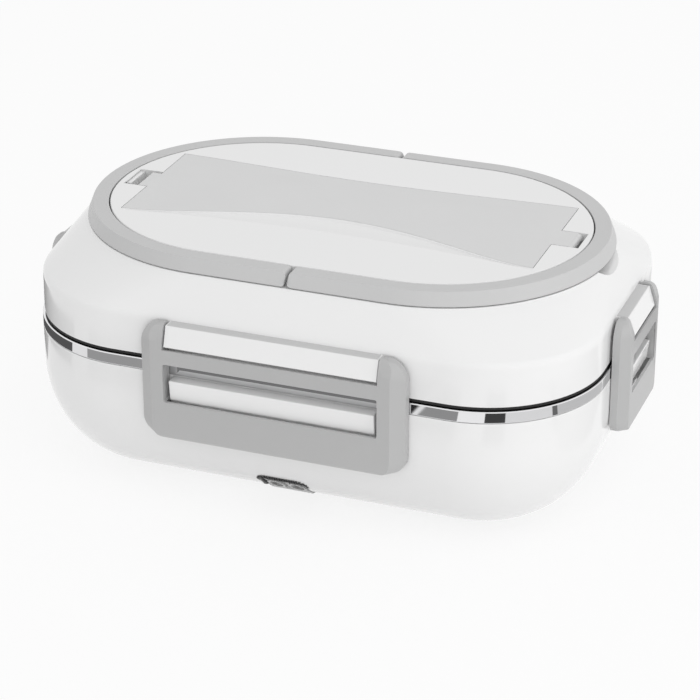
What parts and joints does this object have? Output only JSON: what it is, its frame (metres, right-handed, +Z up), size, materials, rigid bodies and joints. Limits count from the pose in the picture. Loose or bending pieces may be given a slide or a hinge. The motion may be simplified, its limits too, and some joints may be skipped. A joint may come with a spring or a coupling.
{
  "type": "electric lunch box",
  "caption": "Heated lunch box with a lift-out steel container, a clip-on lid with four snap latches, two fold-up carry handles and a covered cutlery compartment",
  "frame": {"origin": "bottom centre of the box, on the plane the feet rest on", "axes": "+X right along the long side, -Y front with the power inlet, +Z up"},
  "size_m": [0.2514, 0.1784, 0.1042],
  "materials": {
    "shell_white": "smooth moulded gloss",
    "inner_white": "satin",
    "trim_grey": "satin moulded",
    "handle_grey": "satin moulded",
    "socket_grey": "matt moulded",
    "cover_grey": "satin moulded",
    "bright_steel": "polished sheet steel",
    "steel": "plain",
    "aluminium": "as rolled",
    "brass": "bright",
    "dark_plastic": "matt",
    "rubber_black": "matt",
    "seal_red": "matt",
    "wire_brown": "satin",
    "wire_red": "satin"
  },
  "bodies": {
    "base": {"base_shell": "shell_white", "catch_lugs": "shell_white", "base_liner": "inner_white", "heating_plate": "aluminium", "plate_seal": "seal_red", "mains_heater": "aluminium", "vehicle_heater": "aluminium", "heater_clamp": "steel", "clamp_screws": "steel", "thermostat": "dark_plastic", "thermal_fuse": "steel", "inlet_housing": "socket_grey", "inlet_grommet": "rubber_black", "mains_contacts": "brass", "vehicle_contacts": "brass", "mains_wires": "wire_brown", "vehicle_wires": "wire_red", "liner_screws": "steel", "rubber_feet": "rubber_black"},
    "container": {"food_container": "bright_steel"},
    "lid": {"lid_shell": "shell_white", "lid_inner_panel": "inner_white", "lid_gasket": "rubber_black", "latch_pin_front": "steel", "latch_pin_back": "steel", "latch_pin_left": "steel", "latch_pin_right": "steel", "handle_pins": "steel", "cover_hinge_pin": "steel"},
    "front_latch": {"latch_front": "trim_grey"},
    "back_latch": {"latch_back": "trim_grey"},
    "left_latch": {"latch_left": "trim_grey"},
    "right_latch": {"latch_right": "trim_grey"},
    "left_handle": {"handle_left": "handle_grey"},
    "right_handle": {"handle_right": "handle_grey"},
    "cover": {"cutlery_cover": "cover_grey"},
    "catch": {"cover_catch": "shell_white"}
  },
  "joints": [
    {"name": "container_lift", "type": "slide", "parent": "base", "child": "container", "axis": [0, 0, 1], "range_m": [0, 0.06]},
    {"name": "lid_lift", "type": "slide", "parent": "container", "child": "lid", "axis": [0, 0, 1], "range_m": [0, 0.04]},
    {"name": "front_latch_hinge", "type": "hinge", "parent": "lid", "child": "front_latch", "pos_m": [0, -0.0847, 0.0801], "axis": [-1, 0, 0], "range_deg": [0, 110]},
    {"name": "back_latch_hinge", "type": "hinge", "parent": "lid", "child": "back_latch", "pos_m": [0, 0.0847, 0.0801], "axis": [1, 0, 0], "range_deg": [0, 110]},
    {"name": "left_latch_hinge", "type": "hinge", "parent": "lid", "child": "left_latch", "pos_m": [-0.1212, 0, 0.0801], "axis": [0, 1, 0], "range_deg": [0, 110]},
    {"name": "right_latch_hinge", "type": "hinge", "parent": "lid", "child": "right_latch", "pos_m": [0.1212, 0, 0.0801], "axis": [0, -1, 0], "range_deg": [0, 110]},
    {"name": "left_handle_pivot", "type": "hinge", "parent": "lid", "child": "left_handle", "pos_m": [-0.00315, 0, 0.1013], "axis": [0, 1, 0], "range_deg": [0, 90]},
    {"name": "right_handle_pivot", "type": "hinge", "parent": "lid", "child": "right_handle", "pos_m": [0.00315, 0, 0.1013], "axis": [0, -1, 0], "range_deg": [0, 90]},
    {"name": "cover_hinge", "type": "hinge", "parent": "lid", "child": "cover", "pos_m": [0.0946, 0.001, 0.1023], "axis": [0, 1, 0], "range_deg": [0, 90]},
    {"name": "cover_catch_flex", "type": "slide", "parent": "lid", "child": "catch", "axis": [-1, 0, 0], "range_m": [0, 0.0007], "stiffness_N_per_m": 2000}
  ]
}
